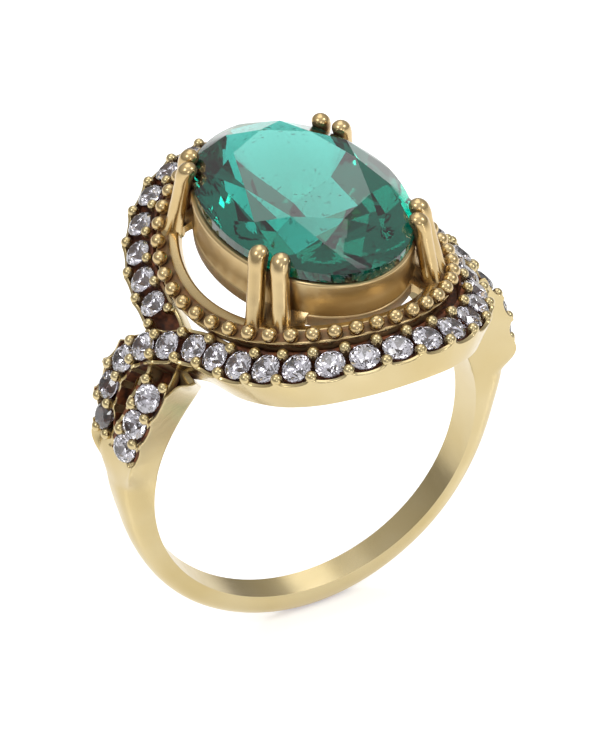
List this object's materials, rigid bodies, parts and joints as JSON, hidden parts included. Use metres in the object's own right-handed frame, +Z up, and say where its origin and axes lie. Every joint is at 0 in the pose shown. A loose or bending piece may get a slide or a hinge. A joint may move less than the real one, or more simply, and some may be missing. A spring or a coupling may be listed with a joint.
{
  "type": "cocktail ring",
  "caption": "Yellow-gold cocktail ring with an oval green stone in paired prongs over a beaded gallery, inside a stone-set crossover halo that runs down onto the shank.",
  "frame": {"origin": "centre of the finger hole, halfway along the finger", "axes": "+Z up through the centre stone, Y along the finger, X across the finger"},
  "size_m": [0.021, 0.0206, 0.0256],
  "materials": {
    "gold": "polished pale yellow gold with darkened recesses",
    "green_stone": "faceted and polished, transparent bluish green",
    "clear_stone": "faceted and polished, colourless with a faint lilac tint"
  },
  "bodies": {
    "root": {"shank": "gold", "halo_strand_front": "gold", "halo_strand_back": "gold", "beaded_gallery": "gold", "basket_collar": "gold", "prong_front_right_side": "gold", "prong_front_right_end": "gold", "prong_back_right_side": "gold", "prong_back_right_end": "gold", "prong_back_left_side": "gold", "prong_back_left_end": "gold", "prong_front_left_side": "gold", "prong_front_left_end": "gold", "centre_stone": "green_stone", "accent_stone_front_01": "clear_stone", "accent_stone_front_02": "clear_stone", "accent_stone_front_03": "clear_stone", "accent_stone_front_04": "clear_stone", "accent_stone_front_05": "clear_stone", "accent_stone_front_06": "clear_stone", "accent_stone_front_07": "clear_stone", "accent_stone_front_08": "clear_stone", "accent_stone_front_09": "clear_stone", "accent_stone_front_10": "clear_stone", "accent_stone_front_11": "clear_stone", "accent_stone_front_12": "clear_stone", "accent_stone_front_13": "clear_stone", "accent_stone_front_14": "clear_stone", "accent_stone_front_15": "clear_stone", "accent_stone_front_16": "clear_stone", "accent_stone_front_17": "clear_stone", "accent_stone_front_18": "clear_stone", "accent_stone_front_19": "clear_stone", "accent_stone_front_20": "clear_stone", "accent_stone_front_21": "clear_stone", "accent_stone_front_22": "clear_stone", "accent_stone_front_23": "clear_stone", "accent_stone_back_01": "clear_stone", "accent_stone_back_02": "clear_stone", "accent_stone_back_03": "clear_stone", "accent_stone_back_04": "clear_stone", "accent_stone_back_05": "clear_stone", "accent_stone_back_06": "clear_stone", "accent_stone_back_07": "clear_stone", "accent_stone_back_08": "clear_stone", "accent_stone_back_09": "clear_stone", "accent_stone_back_10": "clear_stone", "accent_stone_back_11": "clear_stone", "accent_stone_back_12": "clear_stone", "accent_stone_back_13": "clear_stone", "accent_stone_back_14": "clear_stone", "accent_stone_back_15": "clear_stone", "accent_stone_back_16": "clear_stone", "accent_stone_back_17": "clear_stone", "accent_stone_back_18": "clear_stone", "accent_stone_back_19": "clear_stone", "accent_stone_back_20": "clear_stone", "accent_stone_back_21": "clear_stone", "accent_stone_back_22": "clear_stone", "accent_stone_back_23": "clear_stone"}
  },
  "joints": []
}
